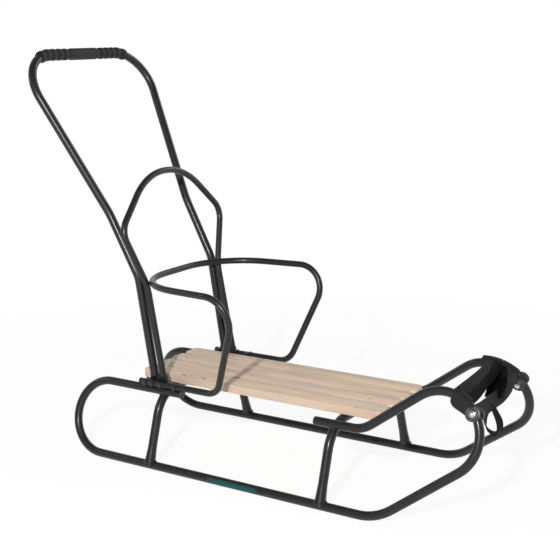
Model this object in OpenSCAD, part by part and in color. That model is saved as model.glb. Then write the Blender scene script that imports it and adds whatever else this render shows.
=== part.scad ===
// Child's push sled: two bent tube side frames, two arches, a slatted seat,
// a guard hoop, a backrest arch, a push handle and a webbing tow strap.
// Millimetres. X forward, Y to the left, Z up. The runners stand on Z = 0.

/* [Side frames] */
// Diameter of the side frame tube
frame_d = 18; // [16:0.5:22]
// Radius of the rear loop and of the nose, to the tube's centre line
loop_r = 80; // [70:1:90]
// Distance between the two runners on the floor, between centre lines
track = 370; // [340:2:400]
// Inward lean of each side frame, in degrees
lean = 18; // [14:0.5:20]
// Length of the runner from the rear loop's centre to the front bend
runner_len = 684; // [660:2:720]
// Angle at which the runner rises to the nose, in degrees
rise = 37.5; // [34:0.5:40]
// Length from the front bend to the start of the nose
rise_len = 190; // [170:1:220]
// Bend radius where the runner starts to rise
kink_r = 110; // [80:2:130]
// Bend radius where the upper tube turns down to the seat
dip_r = 60; // [40:2:80]
// Length of the rear top tube ahead of the rear loop's centre
rear_reach = 195; // [185:1:205]
// Length of the front stub behind the upper bend
stub_len = 104; // [96:2:120]

/* [Arches] */
// Diameter of the arch tube
arch_d = 19; // [16:0.5:20]
// Place of the rear arch ahead of the rear loop's centre
rear_arch_x = 142; // [134:1:150]
// Distance of the front arch behind the seat's front end
front_arch_in = 85; // [76:1:94]
// Half the width of the arch at its upper corners
arch_corner = 139; // [136:0.5:140]
// Bend radius of the arch's upper corners
arch_r = 70; // [66:1:72]
// Diameter of the flared foot where it meets the runner
foot_d = 24; // [22:0.5:26]
// Distance of the arch's foot outside the runner's centre line
foot_out = 4; // [0:0.5:6]
// Height of the flare
foot_h = 32; // [24:1:40]

/* [Seat] */
// Number of slats
slats = 4; // [3:1:5]
// Width of the seat across all slats
seat_w = 198.2; // [180:0.2:216]
// Gap between two slats
slat_gap = 3.4; // [2:0.2:4]
// Thickness of the slats
slat_t = 18; // [14:0.5:20]
// Rear end of the seat ahead of the rear loop's centre
seat_x0 = 59; // [54:1:66]
// Length of the slats
seat_len = 590; // [560:1:600]
// Corner radius of the slat's ends
slat_r = 12; // [4:0.5:16]
// Distance of the rear batten from the seat's rear end
batten_in = 24; // [18:1:26]
// Width of the battens below the slats
batten_w = 36; // [28:1:38]
// Thickness of the battens
batten_t = 8; // [6:0.5:12]
// Distance of the battens' ends from the seat's edges
batten_end = 24; // [14:1:30]

/* [Guard hoop] */
// Diameter of the guard's tube
guard_d = 14; // [12:0.5:15]
// Rear end of the guard's lower rail
guard_x0 = 87; // [82:1:92]
// Front corner of the guard's lower rail
guard_x1 = 291; // [280:1:310]
// Forward place of the arm's front corner
arm_x = 377; // [350:1:400]
// Half width at the arm's front corner
arm_y = 191; // [180:1:200]
// Height of the arms
arm_z = 396; // [390:1:404]
// Bend radius below the uprights
guard_r1 = 38; // [24:1:44]
// Bend radius at the front of the arms
guard_r2 = 54; // [40:1:60]

/* [Backrest and handle] */
// Half the distance between the two legs of the handle and of the backrest
leg_y = 130.5; // [129:0.5:132]
// Diameter of the backrest's tube
back_d = 14; // [12:0.5:15]
// Diameter of the push handle's tube
handle_d = 18; // [16:0.5:20]
// Height of the backrest's shoulders
shoulder_z = 510; // [490:1:530]
// Half width of the backrest's shoulders
shoulder_y = 177; // [170:1:186]
// Height of the backrest's top
back_top = 618; // [600:1:640]
// Height of the push handle's top bar
handle_z = 870; // [840:2:900]
// Half width of the push handle at its top, before bending
handle_y = 210; // [195:1:220]
// Bend radius at the handle's top corners
handle_r = 84; // [70:1:90]
// Diameter of the grip's sleeve
grip_d = 23; // [22:0.5:26]
// Height of the grip's ribs
rib_h = 1.5; // [1:0.1:2.5]
// Angle that the grip follows into each bend, in degrees
grip_turn = 24; // [16:1:30]
// Number of ribs on each half of the grip's straight bar
ribs = 3; // [2:1:3]

/* [Strap and bolts] */
// Width of the webbing
strap_w = 34; // [28:1:38]
// Thickness of the webbing
strap_t = 3; // [2:0.2:4]
// Angle round the right nose at which the webbing is wound, in degrees
wrap_right = 66; // [64:0.5:70]
// Angle round the left nose of the rear winding, in degrees
wrap_left = 83.5; // [83:0.5:88]
// Angle round the left nose of the front winding, in degrees
wrap_front = 58.6; // [58:0.2:59]
// Slack of the winding below the right nose
wrap_slack = 8; // [2:0.5:12]
// Diameter of the round washers at the nose
disc_d = 28; // [24:0.5:32]
// Thickness of the round washers
disc_t = 5; // [4:0.5:7]
// Diameter of the bolts
bolt_d = 6; // [5:0.5:7]
// Diameter of the bolts' domed heads
head_d = 12; // [11:0.5:13]
// Height of the bolts' heads
head_h = 4; // [3:0.2:5]
// Width of the nuts across their corners
nut_d = 11; // [10:0.5:12]
// Height of the nuts
nut_h = 5; // [4:0.2:6]

/* [Hidden] */
$fn = 64;
// clearance between pieces that lie against each other
gap = 0.2;
fr = frame_d / 2;
gr = guard_d / 2;
br = back_d / 2;
hr = handle_d / 2;
ar = arch_d / 2;
half = track / 2;
slat_w = (seat_w - (slats - 1) * slat_gap) / slats;
front_arch_x = seat_x0 + seat_len - front_arch_in;

// nose centre in the side frame's own plane
nose_u = runner_len + rise_len * cos(rise) - loop_r * sin(rise);
nose_v = rise_len * sin(rise) + loop_r * cos(rise);
// upper bend, where the sloping tube meets the level of the stub
dip_u = runner_len - 2 * loop_r * sin(rise) + (2 * loop_r - 2 * loop_r * cos(rise)) / tan(rise);
// level of the upper tubes, of the arches' tops and of the seat
top_y = half - 2 * loop_r * sin(lean);
top_z = fr + 2 * loop_r * cos(lean);
seat_z = top_z + fr;
arch_z = seat_z - ar;
// the guard's lower rail lies on the rear top tube, a little outside it
rail_out = 4.7;
rail_y = top_y + rail_out;
rail_z = top_z + sqrt(pow(fr + gr + gap, 2) - pow(rail_out, 2));
// straight lower legs, each given by its foot on the seat's level and its knee
handle_foot = [122.5, leg_y, seat_z];
handle_knee = [86.4, leg_y + 1, 404];
back_foot = [146, leg_y, seat_z];
back_knee = [106.9, leg_y - 1.5, 388];
elbow_p = [16.8, leg_y + 4, 536];
top_x = -159.5;
// the tubes end above the guard's rail in flattened tabs
tab_t = 6;
tab_top = rail_z + gr + 9;
tab_end = seat_z + 0.3;
// the part's box is centred on the origin
rib_r = grip_d / 2 + rib_h;
x_front = nose_u + loop_r + fr;
x_back = top_x - rib_r;
x_mid = -(x_front + x_back) / 2;

// point of the left side frame from its own plane: u forward, v up, w outward
function side(u, v, w = 0) =
    [u, half - v * sin(lean) + w * cos(lean), fr + v * cos(lean) + w * sin(lean)];
function unit(v) = v / norm(v);
function turn(a, b, c) = acos(unit(b - a) * unit(c - b));
function setback(a, b, c, r) = r * tan(turn(a, b, c) / 2);
function flip(p) = [p.x, -p.y, p.z];
function both(pts) = concat(pts, [for (i = [len(pts) - 1:-1:0]) flip(pts[i])]);
function palin(list) = concat(list, [for (i = [len(list) - 1:-1:0]) list[i]]);

// point at height z on the line through a and b
function at_z(a, b, z) = a + (b - a) * (z - a.z) / (b.z - a.z);

// round bar from a to b
module rod(a, b, d, d2 = 0) {
    v = b - a;
    len = norm(v);
    if (len > 0.01)
        translate(a)
            rotate([0, acos(v.z / len), atan2(v.y, v.x)])
                cylinder(d1 = d, d2 = d2 > 0 ? d2 : d, h = len);
}

// turns a shape about the bend at corner b
module at_bend(a, b, c, r) {
    u = unit(a - b);
    v = unit(c - b);
    ctr = b + unit(u + v) * (r / cos(turn(a, b, c) / 2));
    e1 = unit(b + u * setback(a, b, c, r) - ctr);
    e2 = -u;
    e3 = cross(e1, e2);
    multmatrix([
        [e1.x, e2.x, e3.x, ctr.x],
        [e1.y, e2.y, e3.y, ctr.y],
        [e1.z, e2.z, e3.z, ctr.z]])
        children();
}

// bent tube along corner points, with one bend radius for each inner corner;
// a core just under the surface ties each straight to the bend that it meets
seam = 0.02;
core = 1;
module tube(pts, radii, d) {
    n = len(pts);
    cut = [for (i = [0:n - 1]) (i == 0 || i == n - 1) ? 0
        : setback(pts[i - 1], pts[i], pts[i + 1], radii[i - 1])];
    for (i = [0:n - 2]) {
        w = unit(pts[i + 1] - pts[i]);
        a = pts[i] + w * cut[i];
        b = pts[i + 1] - w * cut[i + 1];
        if (norm(b - a) > 1)
            rod(a + w * (i > 0 ? seam : 0), b - w * (i < n - 2 ? seam : 0), d);
        if (i > 0)
            rod(a - w * core, a + w * core, d - 0.1);
        if (i < n - 2 && norm(b - a) > 1)
            rod(b - w * core, b + w * core, d - 0.1);
    }
    for (i = [1:n - 2])
        at_bend(pts[i - 1], pts[i], pts[i + 1], radii[i - 1])
            rotate_extrude(angle = turn(pts[i - 1], pts[i], pts[i + 1]))
                translate([radii[i - 1], 0])
                    circle(d = d);
}

module place() {
    translate([x_mid, 0, 0])
        children();
}

module on_side(s) {
    place()
        mirror([0, s > 0 ? 0 : 1, 0])
            children();
}

// corners of the left side frame, from the front stub round to the rear end
frame_path = [
    side(dip_u - stub_len, 2 * loop_r),
    side(dip_u, 2 * loop_r),
    side(nose_u + loop_r * (cos(rise) - sin(rise)), nose_v + loop_r * (sin(rise) + cos(rise))),
    side(nose_u + loop_r * (cos(rise) + sin(rise)), nose_v + loop_r * (sin(rise) - cos(rise))),
    side(runner_len, 0),
    side(-loop_r, 0),
    side(-loop_r, 2 * loop_r),
    side(rear_reach, 2 * loop_r)];
frame_radii = [dip_r, loop_r, loop_r, kink_r, loop_r, loop_r];

// bolt across the left nose, at this angle round the nose
disc_a = 36;
disc_p = side(nose_u + loop_r * cos(disc_a), nose_v + loop_r * sin(disc_a));
nose_out = [0, cos(lean), sin(lean)];
module nose_hole(d) {
    reach = frame_d + disc_t;
    rod(disc_p - nose_out * reach, disc_p + nose_out * reach, d);
}

module side_frame() {
    difference() {
        tube(frame_path, frame_radii, frame_d);
        nose_hole(bolt_d + 2 * gap);
    }
}
module side_frame_left() {
    color([0.09, 0.09, 0.1])
        on_side(1)
            side_frame();
}
module side_frame_right() {
    color([0.09, 0.09, 0.1])
        on_side(-1)
            side_frame();
}

// moulded plugs that close the four open tube ends
module end_plugs() {
    color([0.05, 0.05, 0.05])
        for (s = [-1, 1])
            on_side(s) {
                rod(frame_path[0] - [2.5, 0, 0], frame_path[0], frame_d - 1.5, frame_d);
                rod(frame_path[7], frame_path[7] + [2.5, 0, 0], frame_d, frame_d - 1.5);
            }
}

// inverted U that carries the seat on the two runners
module arch(x) {
    foot = [x, half + foot_out, fr];
    corner = [x, arch_corner, arch_z];
    w = unit(corner - foot);
    difference() {
        union() {
            tube(both([foot, corner]), [arch_r, arch_r], arch_d);
            for (s = [0, 1])
                mirror([0, s, 0])
                    rod(foot, foot + w * (foot_h + fr), foot_d, arch_d);
        }
        for (s = [0, 1])
            mirror([0, s, 0]) {
                rod([x - 2 * foot_d, half, fr], [x + 2 * foot_d, half, fr], frame_d);
                rod([x - 2 * foot_d, top_y, top_z], [x + 2 * foot_d, top_y, top_z], frame_d);
            }
    }
}
module rear_arch() {
    color([0.09, 0.09, 0.1])
        place()
            arch(rear_arch_x);
}
module front_arch() {
    color([0.09, 0.09, 0.1])
        place()
            arch(front_arch_x);
}

// one slat with rounded ends
module slat(i) {
    pitch = slat_w + slat_gap;
    y = (i - (slats - 1) / 2) * pitch;
    place()
        translate([seat_x0, y - slat_w / 2, seat_z])
            linear_extrude(slat_t)
                difference() {
                    square([seat_len, slat_w]);
                    for (p = [[0, 0], [0, 1], [1, 0], [1, 1]])
                        translate([p.x * seat_len, p.y * slat_w])
                            mirror([p.x, 0])
                                mirror([0, p.y])
                                    difference() {
                                        translate([-1, -1])
                                            square(slat_r + 1);
                                        translate([slat_r, slat_r])
                                            circle(slat_r);
                                    }
                }
}
module seat_slats() {
    color([0.82, 0.66, 0.47])
        for (i = [0:slats - 1])
            slat(i);
}

// cross battens that hold the slats together
batten_gap = 10;
batten_x = [seat_x0 + batten_in, front_arch_x + ar + batten_gap];
batten_y = seat_w / 2 - batten_end;
module seat_battens() {
    color([0.78, 0.62, 0.44])
        for (x = batten_x)
            place()
                translate([x, -batten_y, seat_z - batten_t])
                    cube([batten_w, 2 * batten_y, batten_t]);
}

// corners of the guard hoop's left half; its back corner lies against the backrest's leg
guard_back = at_z(back_foot, back_knee, arm_z) + [-19, 32.5, 0];
guard_half = [
    [guard_x0, rail_y, rail_z],
    [guard_x1, rail_y, rail_z],
    [arm_x, arm_y, arm_z],
    guard_back];
guard_radii = [guard_r1, guard_r2, 137];
// places of the guard's own bolts and of the legs' bolts along the lower rail
lug_x = [103, 181];
handle_bolt_x = at_z(handle_foot, handle_knee, rail_z).x;
back_bolt_x = at_z(back_foot, back_knee, rail_z).x;
module rail_holes(list, d) {
    for (x = list)
        for (s = [-1, 1])
            rod([x, s * (rail_y + guard_d), rail_z], [x, s * (rail_y - 2 * guard_d), rail_z], d);
}

module guard_hoop() {
    color([0.09, 0.09, 0.1])
        place()
            difference() {
                tube(both(guard_half), palin(guard_radii), guard_d);
                rail_holes(lug_x, bolt_d + 2 * gap);
                rail_holes([handle_bolt_x, back_bolt_x], bolt_d + 2 * gap);
            }
}

// plates on the rear top tubes that the guard is bolted to
lug_w = 12;
lug_t = 3;
module guard_lugs() {
    color([0.09, 0.09, 0.1])
        for (s = [-1, 1])
            on_side(s)
                for (x = lug_x)
                    difference() {
                        translate([x - lug_w / 2, rail_y - gr - gap - lug_t, top_z])
                            cube([lug_w, lug_t, rail_z + gr - top_z]);
                        rod([x - lug_w, top_y, top_z], [x + lug_w, top_y, top_z], frame_d);
                        rail_holes([x], bolt_d + 2 * gap);
                    }
}

// flattened end of a leg, against the inside of the guard's rail
module leg_tab(foot, knee, d) {
    p = at_z(foot, knee, rail_z);
    slope = atan((knee.x - foot.x) / (knee.z - foot.z));
    for (s = [0, 1])
        mirror([0, s, 0])
            difference() {
                translate([p.x, rail_y - gr - gap - tab_t, p.z])
                    rotate([0, slope, 0])
                        translate([-d * 0.6, 0, tab_end + 0.12 * d - rail_z])
                            cube([d * 1.2, tab_t, tab_top - tab_end]);
                translate([p.x - 2 * d, 0, 0])
                    cube([4 * d, 2 * rail_y, tab_end]);
            }
}
// tube with two such legs, closed by a ball above each tab
module leg_hoop(half_pts, foot, knee, radii, d) {
    difference() {
        union() {
            tube(both(half_pts), palin(radii), d);
            for (s = [0, 1])
                mirror([0, s, 0])
                    translate(half_pts[0])
                        sphere(d = d - 0.1);
            leg_tab(foot, knee, d);
        }
        rail_holes([at_z(foot, knee, rail_z).x], bolt_d + 2 * gap);
    }
}

// corners of the backrest arch's left half
back_top_y = 65;
back_half = [
    at_z(back_foot, back_knee, tab_top + 1),
    back_knee,
    [84, shoulder_y, shoulder_z],
    [64.5, back_top_y, back_top]];
back_top_turn = turn(back_half[2], back_half[3], flip(back_half[3]));
back_radii = [100, 41, 0.96 * back_top_y / tan(back_top_turn / 2)];
module backrest_arch() {
    color([0.09, 0.09, 0.1])
        place()
            leg_hoop(back_half, back_foot, back_knee, back_radii, back_d);
}

// corners of the push handle's left half
handle_half = [
    at_z(handle_foot, handle_knee, tab_top + 1),
    handle_knee,
    elbow_p,
    [top_x, handle_y, handle_z]];
handle_radii = [70, 144, handle_r];
module push_handle() {
    color([0.09, 0.09, 0.1])
        place()
            leg_hoop(handle_half, handle_foot, handle_knee, handle_radii, handle_d);
}

// ribbed sleeve on the handle's top bar
bar_half = handle_y - setback(handle_half[2], handle_half[3], flip(handle_half[3]), handle_r);
rib_pitch = 18.5;
rib_w = 11;
// plain stretch between the last straight rib and the bend, and beside the smooth middle
rib_edge = 5.5;
rib_lead = 12;
grip_mid = bar_half - rib_edge - rib_w - (ribs - 1) * rib_pitch - rib_lead;
module ring(d, len) {
    difference() {
        cylinder(d = d, h = len);
        translate([0, 0, -1])
            cylinder(d = handle_d, h = len + 2);
    }
}
module bend_ring(d, from, to) {
    rotate([0, 0, from])
        rotate_extrude(angle = to - from)
            translate([handle_r, 0])
                difference() {
                    circle(d = d);
                    circle(d = handle_d);
                }
}
module handle_grip() {
    rib_a = 180 / PI * rib_w / handle_r;
    pitch_a = 180 / PI * rib_pitch / handle_r;
    first_a = 180 / PI * (rib_pitch - rib_w - rib_edge) / handle_r;
    color([0.04, 0.04, 0.04])
        place() {
            translate([top_x, -bar_half + seam, handle_z])
                rotate([-90, 0, 0])
                    ring(grip_d, 2 * bar_half - 2 * seam);
            translate([top_x, -grip_mid, handle_z])
                rotate([-90, 0, 0])
                    ring(2 * rib_r, 2 * grip_mid);
            for (s = [0, 1])
                mirror([0, s, 0]) {
                    for (i = [0:ribs - 1])
                        translate([top_x, bar_half - rib_edge - rib_w - i * rib_pitch, handle_z])
                            rotate([-90, 0, 0])
                                ring(2 * rib_r, rib_w);
                    translate([top_x, bar_half - core, handle_z])
                        rotate([-90, 0, 0])
                            difference() {
                                cylinder(d = grip_d - 0.1, h = 2 * core);
                                translate([0, 0, -1])
                                    cylinder(d = handle_d + 0.2, h = 2 * core + 2);
                            }
                    at_bend(flip(handle_half[3]), handle_half[3], handle_half[2], handle_r) {
                        bend_ring(grip_d, 0, grip_turn);
                        for (a = [first_a:pitch_a:grip_turn - rib_a])
                            bend_ring(2 * rib_r, a, a + rib_a);
                    }
                }
        }
}

// bolt with a domed head outside and a nut inside, along Y on the left
module rail_bolt(x, inner) {
    out = rail_y + gr;
    rod([x, inner - nut_h - 1, rail_z], [x, out, rail_z], bolt_d);
    rod([x, out, rail_z], [x, out + head_h / 2, rail_z], head_d);
    rod([x, out + head_h / 2, rail_z], [x, out + head_h, rail_z], head_d, 0.6 * head_d);
    translate([x, inner - gap, rail_z])
        rotate([90, 0, 0])
            cylinder(d = nut_d, h = nut_h, $fn = 6);
}
module guard_bolts() {
    color([0.12, 0.12, 0.13])
        for (s = [-1, 1])
            on_side(s)
                for (x = lug_x)
                    rail_bolt(x, rail_y - gr - gap - lug_t);
}
module leg_bolts() {
    color([0.12, 0.12, 0.13])
        for (s = [-1, 1])
            on_side(s) {
                rail_bolt(handle_bolt_x, rail_y - gr - gap - tab_t);
                rail_bolt(back_bolt_x, rail_y - gr - gap - tab_t);
            }
}

// round washers and bolts at the nose
module nose_washers() {
    color([0.05, 0.05, 0.05])
        for (s = [-1, 1])
            on_side(s)
                for (k = [-1, 1])
                    difference() {
                        rod(disc_p + nose_out * k * (fr + gap), disc_p + nose_out * k * (fr + gap + disc_t), disc_d);
                        nose_hole(bolt_d + 2 * gap);
                    }
}
module nose_bolts() {
    reach = fr + gap + disc_t;
    color([0.7, 0.7, 0.72])
        for (s = [-1, 1])
            on_side(s) {
                rod(disc_p - nose_out * (reach + nut_h + 1), disc_p + nose_out * reach, bolt_d);
                rod(disc_p + nose_out * reach, disc_p + nose_out * (reach + head_h), nut_d, 0.8 * nut_d);
                rod(disc_p - nose_out * (reach + nut_h), disc_p - nose_out * reach, nut_d);
            }
}

// webbing wound round the nose of one side at angle a
module oval(r, slack) {
    circle(r = r);
    if (slack > 0) {
        translate([-slack, 0])
            circle(r = r);
        translate([-slack, -r])
            square([slack, 2 * r]);
    }
}
module wrap(s, a, layers, slack) {
    reach = fr + 2 * gap;
    angle = 180 / PI * strap_w / loop_r;
    on_side(s)
        translate(side(nose_u, nose_v))
            rotate([90 + lean, 0, 0])
                rotate([0, 0, a - angle / 2])
                    rotate_extrude(angle = angle)
                        translate([loop_r, 0])
                            difference() {
                                oval(reach + layers * strap_t, slack);
                                oval(reach, slack);
                            }
}

// webbing between the noses, as rows of its middle line and of the direction across it:
// x and z in nose radii from the nose's centre, y as a share of the nose's own y plus
// millimetres, then the direction across as x, y, z, then the width as a share of strap_w
band_rows = [
    [0.47, -1, 27, 0.985, -0.88, 0, 0.47, 1],
    [0.41, -0.3, 0, 1.02, -0.93, 0, 0.36, 0.82],
    [0.31, 0.3, 0, 1.045, -0.96, 0, 0.28, 0.82],
    [0.14, 1, -29, 1.09, -0.99, 0, 0.12, 1]];
sling_rows = [
    [0.77, -1, 36.5, 0.56, -0.62, 0, 0.79, 0.8],
    [0.61, -0.27, 0, 0.38, -0.62, 0, 0.79, 0.8],
    [0.575, 0.05, 0, 0.35, -0.62, 0, 0.79, 0.8],
    [0.585, 0.42, 0, 0.355, -0.62, 0.1, 0.77, 0.78],
    [0.625, 0.6, 0, 0.45, -0.6, 0.55, 0.5, 0.7],
    [0.65, 1, -38.5, 0.62, -0.7, 0.3, 0.3, 0.75],
    [0.61, 1, -32.5, 0.75, -0.79, 0.35, 0.3, 0.9]];
fold_rows = [
    [0.33, 1, -37.5, 0.95, 1, 0, 0, 1],
    [0.37, 0.66, 0, 0.74, 1, 0, 0, 1],
    [0.42, 0.48, 0, 0.53, 1, 0, 0, 1],
    [0.45, 0.33, 0, 0.34, 1, 0, 0, 1]];
loop_rows = [
    [0.56, 0.13, 0, 0.3, -0.53, 0.83, -0.17, 0.88],
    [0.46, 0.06, 0, 0.02, -0.53, 0.83, -0.17, 0.88],
    [0.48, 0.03, 0, -0.2, -0.5, 0.85, -0.17, 0.88],
    [0.64, 0, 0, -0.33, -0.3, 0.94, -0.16, 0.88],
    [0.84, -0.015, 0, -0.32, -0.05, 0.99, -0.1, 0.88],
    [0.87, -0.03, 0, -0.06, 0, 1, -0.1, 0.88],
    [0.72, -0.045, 0, 0.28, -0.14, 0.98, -0.15, 0.88]];
nose_p = side(nose_u, nose_v);
function row_mid(r) = nose_p + [r[0] * loop_r, (r[1] - 1) * nose_p.y + r[2], r[3] * loop_r];
function row_way(r) = unit([r[4], r[5], r[6]]) * strap_w * r[7] / 2;
// smooth curve through a list of points, at step t after point i
function smooth(p, i, t) =
    let (n = len(p) - 1, a = p[max(0, i - 1)], b = p[i], c = p[i + 1], d = p[min(n, i + 2)])
    0.5 * (2 * b + (c - a) * t + (2 * a - 5 * b + 4 * c - d) * t * t + (3 * b - a - 3 * c + d) * t * t * t);
ribbon_steps = 4;
function fine(p) = concat(
    [for (i = [0:len(p) - 2]) for (k = [0:ribbon_steps - 1]) smooth(p, i, k / ribbon_steps)],
    [p[len(p) - 1]]);
// part of v that lies across the direction w
function across(v, w) = v - w * (v * w);
module ribbon(rows) {
    mid = fine([for (r = rows) row_mid(r)]);
    way = fine([for (r = rows) row_way(r)]);
    n = len(mid) - 1;
    pts = [for (k = [0:n])
        let (
            w = unit(mid[min(n, k + 1)] - mid[max(0, k - 1)]),
            side = unit(across(way[k], w)) * norm(way[k]),
            out = cross(w, unit(side)) * strap_t / 2)
        for (c = [[-1, -1], [1, -1], [1, 1], [-1, 1]])
            mid[k] + side * c.x + out * c.y];
    walls = [for (k = [0:n - 1]) for (j = [0:3])
        let (a = 4 * k + j, b = 4 * k + (j + 1) % 4)
        for (f = [[a, a + 4, b + 4], [a, b + 4, b]]) f];
    caps = [[0, 1, 2], [0, 2, 3], [4 * n + 3, 4 * n + 2, 4 * n + 1], [4 * n + 3, 4 * n + 1, 4 * n]];
    place()
        polyhedron(points = pts, faces = concat(walls, caps));
}
module tow_strap() {
    color([0.04, 0.04, 0.04]) {
        wrap(-1, wrap_right, 1, wrap_slack);
        wrap(1, wrap_left, 2, 0);
        wrap(1, wrap_front, 1, 0);
        ribbon(band_rows);
        ribbon(sling_rows);
        ribbon(fold_rows);
        ribbon(loop_rows);
    }
}

side_frame_left();
side_frame_right();
end_plugs();
rear_arch();
front_arch();
seat_slats();
seat_battens();
guard_hoop();
guard_lugs();
backrest_arch();
push_handle();
handle_grip();
guard_bolts();
leg_bolts();
nose_washers();
nose_bolts();
tow_strap();
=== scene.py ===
"""Child's push sled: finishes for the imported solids, and the pieces that only show."""
import logging
import math
from dataclasses import dataclass, field
from enum import Enum
from typing import Any, Callable, Iterable, Mapping, Protocol, Sequence, Union

import bmesh
import bpy
from mathutils import Matrix, Vector


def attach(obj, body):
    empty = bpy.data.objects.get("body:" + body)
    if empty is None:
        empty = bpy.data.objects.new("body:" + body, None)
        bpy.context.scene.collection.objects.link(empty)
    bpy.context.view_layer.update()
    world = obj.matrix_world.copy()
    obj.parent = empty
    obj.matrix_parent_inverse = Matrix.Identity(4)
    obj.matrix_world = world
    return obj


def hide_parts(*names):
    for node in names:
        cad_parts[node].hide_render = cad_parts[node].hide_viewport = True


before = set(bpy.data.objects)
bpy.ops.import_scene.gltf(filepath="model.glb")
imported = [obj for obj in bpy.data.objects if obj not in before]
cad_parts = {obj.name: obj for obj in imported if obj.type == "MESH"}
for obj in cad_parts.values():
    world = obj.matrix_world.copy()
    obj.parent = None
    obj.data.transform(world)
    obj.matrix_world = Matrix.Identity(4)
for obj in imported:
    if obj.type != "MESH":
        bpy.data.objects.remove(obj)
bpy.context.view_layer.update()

LOG = logging.getLogger("sled")
BODY = "root"
MM = 0.001
TAU = 2.0 * math.pi
SIDES = (-1, 1)
WHITE = (1.0, 1.0, 1.0, 1.0)
# the rear loops' centre, ahead of which the source measures, in the row frame
LOOP_X = -0.351268
# sizes that several classes share, in millimetres
TUBE_R = 9.0
RUNNER_Y = 185.0
LUG_X = (103.0, 181.0)
FIRST_RIB = 59.5
RIB_PITCH = 18.5
Point = Sequence[float]
Colour = tuple[float, float, float]
Table = tuple[tuple[float, ...], ...]


def ahead(x: float, y: float, z: float) -> Vector:
    """The point x mm ahead of the rear loops, y to the left and z up, in the row frame."""
    return Vector((x * MM + LOOP_X, y * MM, z * MM))


def solid(colour: "Feed") -> "Feed":
    """Adds a full alpha to a plain colour and leaves anything else as it is."""
    return (*colour, 1.0) if isinstance(colour, tuple) and len(colour) == 3 else colour


# Materials


class Value:
    """A number on its way through a material, with Python's own arithmetic."""

    def __init__(self, graph: "Graph", socket: bpy.types.NodeSocket) -> None:
        """Keeps the graph and the socket that gives the number."""
        self.graph = graph
        self.socket = socket

    def math(self, operation: str, *terms: "Number") -> "Value":
        """The result of one Math node on these terms."""
        node = self.graph.node("ShaderNodeMath", {"operation": operation}, dict(enumerate(terms)))
        return Value(self.graph, node.outputs[0])

    def __add__(self, other: "Number") -> "Value":
        """self + other"""
        return self.math("ADD", self, other)

    def __sub__(self, other: "Number") -> "Value":
        """self - other"""
        return self.math("SUBTRACT", self, other)

    def __rsub__(self, other: "Number") -> "Value":
        """other - self"""
        return self.math("SUBTRACT", other, self)

    def __mul__(self, other: "Number") -> "Value":
        """self * other"""
        return self.math("MULTIPLY", self, other)

    def __truediv__(self, other: "Number") -> "Value":
        """self / other"""
        return self.math("DIVIDE", self, other)

    def __pow__(self, other: "Number") -> "Value":
        """self ** other"""
        return self.math("POWER", self, other)

    __radd__ = __add__
    __rmul__ = __mul__

    def size(self) -> "Value":
        """The number without its sign."""
        return self.math("ABSOLUTE", self)

    def wave(self) -> "Value":
        """The sine of the number."""
        return self.math("SINE", self)

    def step(self, low: float, high: float) -> "Value":
        """A smooth step over a range.

        Args:
            low: where the step is 0.
            high: where it is 1; below low, the step falls.

        Returns:
            A number from 0 to 1.
        """
        rising = float(low < high)
        node = self.graph.node(
            "ShaderNodeMapRange", {"interpolation_type": "SMOOTHSTEP"},
            {0: self, 1: min(low, high), 2: max(low, high), 3: 1.0 - rising, 4: rising})
        return Value(self.graph, node.outputs[0])


Number = Union[Value, float]
Feed = Union[Value, bpy.types.NodeSocket, float, Sequence[float]]


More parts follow.
